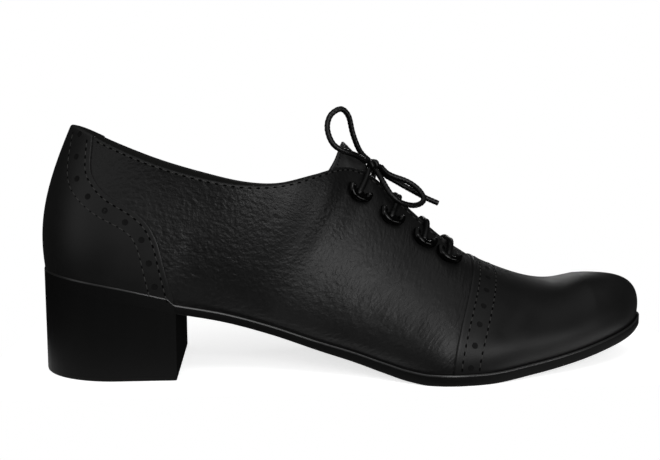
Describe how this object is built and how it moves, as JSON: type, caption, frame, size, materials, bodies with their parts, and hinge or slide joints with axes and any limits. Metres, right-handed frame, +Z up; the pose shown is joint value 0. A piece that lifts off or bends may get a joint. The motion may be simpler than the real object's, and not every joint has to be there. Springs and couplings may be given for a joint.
{
  "type": "heeled oxford shoe",
  "caption": "Black leather lace-up oxford shoe for the right foot, with a low block heel, punched trim and a tied round lace.",
  "frame": {"origin": "middle of the shoe's box in plan, on the plane that the heel and forefoot rest on; the free lace is left out of the box", "axes": "+X towards the toe, +Y towards the inner side of the foot, +Z up; the outer side of the right foot faces -Y"},
  "size_m": [0.2628, 0.0876, 0.1102],
  "materials": {
    "leather": "glossy black calf, smooth at toe and counter, tumbled grain on the quarters",
    "tongue_leather": "satin black calf",
    "lining": "matte black lining leather",
    "sole": "satin black, smooth edge",
    "heel_block": "satin black lacquer",
    "enamelled_metal": "glossy black enamel",
    "waxed_cord": "waxed black twisted cotton"
  },
  "bodies": {
    "root": {"outsole": "sole", "heel": "heel_block", "insole": "lining", "upper": "leather", "tongue": "tongue_leather", "eyelet_outer_1": "enamelled_metal", "eyelet_outer_2": "enamelled_metal", "eyelet_outer_3": "enamelled_metal", "eyelet_outer_4": "enamelled_metal", "eyelet_inner_1": "enamelled_metal", "eyelet_inner_2": "enamelled_metal", "eyelet_inner_3": "enamelled_metal", "eyelet_inner_4": "enamelled_metal", "lace_bar_1_outer": "waxed_cord", "lace_bar_1_inner": "waxed_cord", "lace_bar_2": "waxed_cord", "lace_bar_3": "waxed_cord", "lace_bar_4": "waxed_cord", "lace_knot": "waxed_cord", "bow_loop_upper": "waxed_cord", "bow_loop_lower": "waxed_cord", "lace_end_outer": "waxed_cord", "lace_end_inner": "waxed_cord"}
  },
  "joints": []
}
